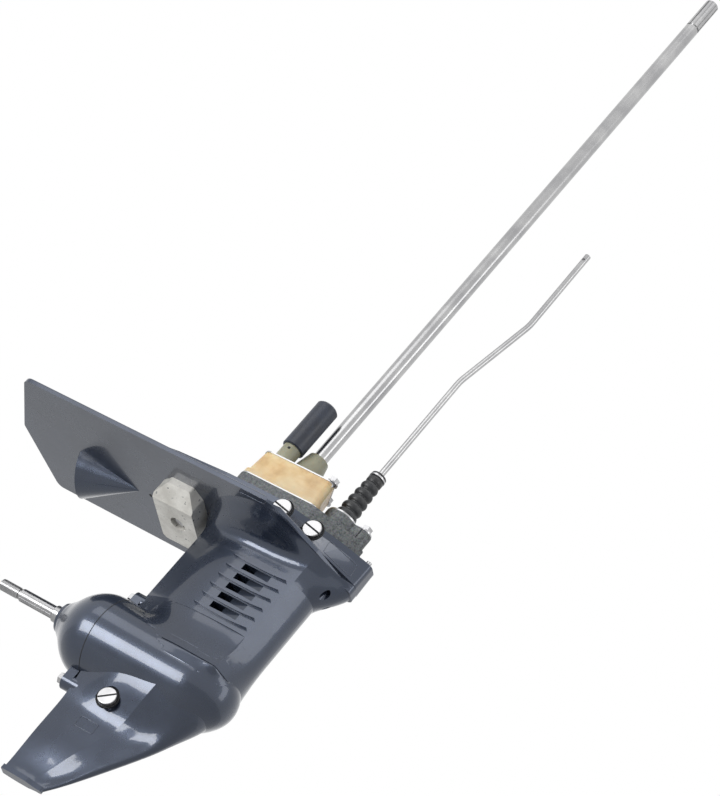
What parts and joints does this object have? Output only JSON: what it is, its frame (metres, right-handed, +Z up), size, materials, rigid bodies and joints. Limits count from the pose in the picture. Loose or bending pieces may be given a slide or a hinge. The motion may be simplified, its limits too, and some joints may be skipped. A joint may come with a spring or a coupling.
{
  "type": "outboard motor lower unit",
  "caption": "Outboard gearcase with plate, skeg, side water intakes, geared propeller shaft, dog clutch, shift rod, water pump and a long splined drive shaft",
  "frame": {"origin": "Where the drive shaft axis crosses the joint face that meets the upper casing; it is the centre of the casing bolt pattern.", "axes": "+X points to the bow (forward), +Y to port and +Z up along the drive shaft; the propeller shaft lies along X below the origin and leaves toward -X."},
  "size_m": [0.3708, 0.1558, 1.0632],
  "materials": {
    "case_paint": "gloss metallic paint on cast aluminium",
    "cap_paint": "gloss metallic paint on cast aluminium",
    "bare_casting": "as cast",
    "anode_zinc": "cast, matte",
    "shaft_steel": "ground",
    "gear_steel": "machined and oiled",
    "bearing_steel": "polished",
    "fastener_steel": "stainless",
    "sheet_steel": "bright sheet",
    "plug_steel": "bright",
    "bush_bronze": "sintered",
    "pump_plastic": "satin, cream",
    "black_rubber": "satin",
    "seal_rubber": "matte",
    "gasket_fibre": "fibre"
  },
  "bodies": {
    "gearcase_body": {"gearcase": "case_paint", "propeller_shaft_cap": "cap_paint", "cap_bolts": "fastener_steel", "cap_o_ring": "seal_rubber", "propeller_shaft_seals": "seal_rubber", "propeller_shaft_bush": "bush_bronze", "reverse_bearing_outer": "bearing_steel", "forward_bearing_cup": "bearing_steel", "shift_rod_bush": "bush_bronze", "shift_rod_boot": "black_rubber", "boot_retainer_plate": "sheet_steel", "retainer_bolt": "fastener_steel", "drive_shaft_bush": "bush_bronze", "drive_shaft_oil_seals": "seal_rubber", "top_bearing_outer": "bearing_steel", "oil_seal_housing": "bare_casting", "dowel_pins": "fastener_steel", "pump_gasket": "gasket_fibre", "pump_wear_plate": "sheet_steel", "pump_housing": "pump_plastic", "pump_insert_cup": "sheet_steel", "pump_top_plate": "sheet_steel", "pump_bolts": "fastener_steel", "water_tube_grommet": "black_rubber", "oil_level_plug": "plug_steel", "flushing_plug": "plug_steel", "oil_drain_plug": "plug_steel", "plug_gaskets": "gasket_fibre", "anode": "anode_zinc", "anode_bolt": "fastener_steel"},
    "drive_shaft_group": {"drive_shaft": "shaft_steel", "pinion_gear": "gear_steel", "pinion_nut": "fastener_steel", "impeller": "black_rubber", "impeller_key": "fastener_steel", "top_bearing_inner": "bearing_steel"},
    "forward_gear_group": {"forward_gear": "gear_steel", "forward_bearing_cone": "bearing_steel"},
    "reverse_gear_group": {"reverse_gear": "gear_steel", "reverse_bearing_inner": "bearing_steel"},
    "propeller_shaft_group": {"propeller_shaft": "shaft_steel"},
    "clutch_group": {"dog_clutch": "gear_steel", "clutch_cross_pin": "bearing_steel", "clutch_spring_ring": "bearing_steel", "shift_plunger": "bearing_steel"},
    "shift_rod_group": {"shift_rod": "shaft_steel", "shift_cam": "gear_steel", "boot_clamp_ring": "sheet_steel"}
  },
  "joints": [
    {"name": "drive_shaft_spin", "type": "hinge", "parent": "gearcase_body", "child": "drive_shaft_group", "pos_m": [0, 0, 0], "axis": [0, 0, 1], "continuous": true},
    {"name": "forward_gear_spin", "type": "hinge", "parent": "gearcase_body", "child": "forward_gear_group", "pos_m": [0, 0, -0.1755], "axis": [1, 0, 0], "continuous": true},
    {"name": "reverse_gear_spin", "type": "hinge", "parent": "gearcase_body", "child": "reverse_gear_group", "pos_m": [0, 0, -0.1755], "axis": [1, 0, 0], "continuous": true},
    {"name": "propeller_shaft_spin", "type": "hinge", "parent": "gearcase_body", "child": "propeller_shaft_group", "pos_m": [0, 0, -0.1755], "axis": [1, 0, 0], "continuous": true},
    {"name": "clutch_slide", "type": "slide", "parent": "propeller_shaft_group", "child": "clutch_group", "axis": [1, 0, 0], "range_m": [-0.0021, 0.0021]},
    {"name": "shift_rod_slide", "type": "slide", "parent": "gearcase_body", "child": "shift_rod_group", "axis": [0, 0, 1], "range_m": [-0.006, 0.006], "deforming": ["shift_rod_boot"]}
  ],
  "couplings": [
    {"joint": "forward_gear_spin", "follows": "drive_shaft_spin", "ratio": -0.48148},
    {"joint": "reverse_gear_spin", "follows": "drive_shaft_spin", "ratio": 0.48148},
    {"joint": "clutch_slide", "follows": "shift_rod_slide", "ratio": 0.35}
  ]
}
